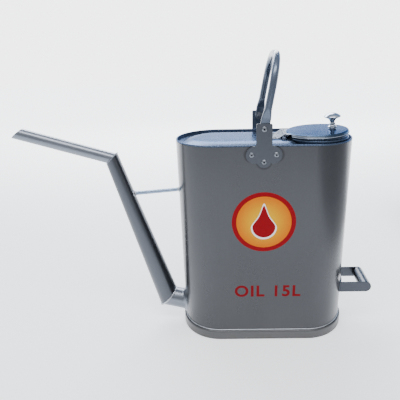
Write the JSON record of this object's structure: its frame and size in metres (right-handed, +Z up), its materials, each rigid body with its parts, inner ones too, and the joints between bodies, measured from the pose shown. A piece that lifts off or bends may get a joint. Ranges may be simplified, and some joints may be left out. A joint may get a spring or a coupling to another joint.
{
  "type": "motor oil pouring can",
  "caption": "Flat-sided sheet-metal motor oil can with a long jointed pouring spout, braced riser, hinged round filler lid with a knob, swinging bail handle and a low rear grip.",
  "frame": {"origin": "centre of the can's footprint on the ground, at the foot band's lower edge", "axes": "+X toward the rear grip, -X toward the spout, +Y away from the front face, +Z up"},
  "size_m": [0.6789, 0.158, 0.5366],
  "materials": {
    "silver_paint": "semi-gloss silver-grey metallic paint",
    "top_paint": "glossier silver paint on the top plate, neck and lid",
    "handle_paint": "silver-grey metallic paint, worn on the bail",
    "spout_paint": "semi-gloss silver-grey metallic paint",
    "rivet_steel": "bright zinc-plated steel",
    "hinge_steel": "thinly painted steel",
    "weld_metal": "rippled weld bead under paint",
    "brace_steel": "bare bright steel rod",
    "knob_chrome": "polished chrome plate"
  },
  "bodies": {
    "can": {"body_shell": "silver_paint", "foot_ring": "silver_paint", "bottom_plate": "silver_paint", "top_plate": "top_paint", "filler_neck": "top_paint", "hinge_base_leaf": "hinge_steel", "hinge_base_rivets": "rivet_steel", "hinge_pin": "rivet_steel", "front_bracket": "handle_paint", "rear_bracket": "handle_paint", "front_bracket_rivets": "rivet_steel", "rear_bracket_rivets": "rivet_steel", "front_pivot_rivet": "rivet_steel", "rear_pivot_rivet": "rivet_steel", "front_pivot_washer": "rivet_steel", "rear_pivot_washer": "rivet_steel", "spout_flange": "spout_paint", "spout_stub": "spout_paint", "knee_weld": "weld_metal", "spout_riser": "spout_paint", "elbow_weld": "weld_metal", "spout_nozzle": "spout_paint", "spout_strut": "brace_steel", "strut_pads": "weld_metal", "grip_saddle": "handle_paint", "grip_front_arm": "handle_paint", "grip_rear_arm": "handle_paint", "grip_bar": "handle_paint"},
    "lid_body": {"lid": "top_paint", "hinge_lid_leaf": "hinge_steel", "lid_knob": "knob_chrome", "knob_screw": "rivet_steel", "knob_washer": "rivet_steel"},
    "bail_body": {"bail_handle": "handle_paint"}
  },
  "joints": [
    {"name": "lid_hinge", "type": "hinge", "parent": "can", "child": "lid_body", "pos_m": [0.03625, 0, 0.39355], "axis": [0, -1, 0], "range_deg": [-3, 100]},
    {"name": "bail_pivot", "type": "hinge", "parent": "can", "child": "bail_body", "pos_m": [-0.004, 0, 0.415], "axis": [0, 1, 0], "range_deg": [-106, 68]}
  ]
}
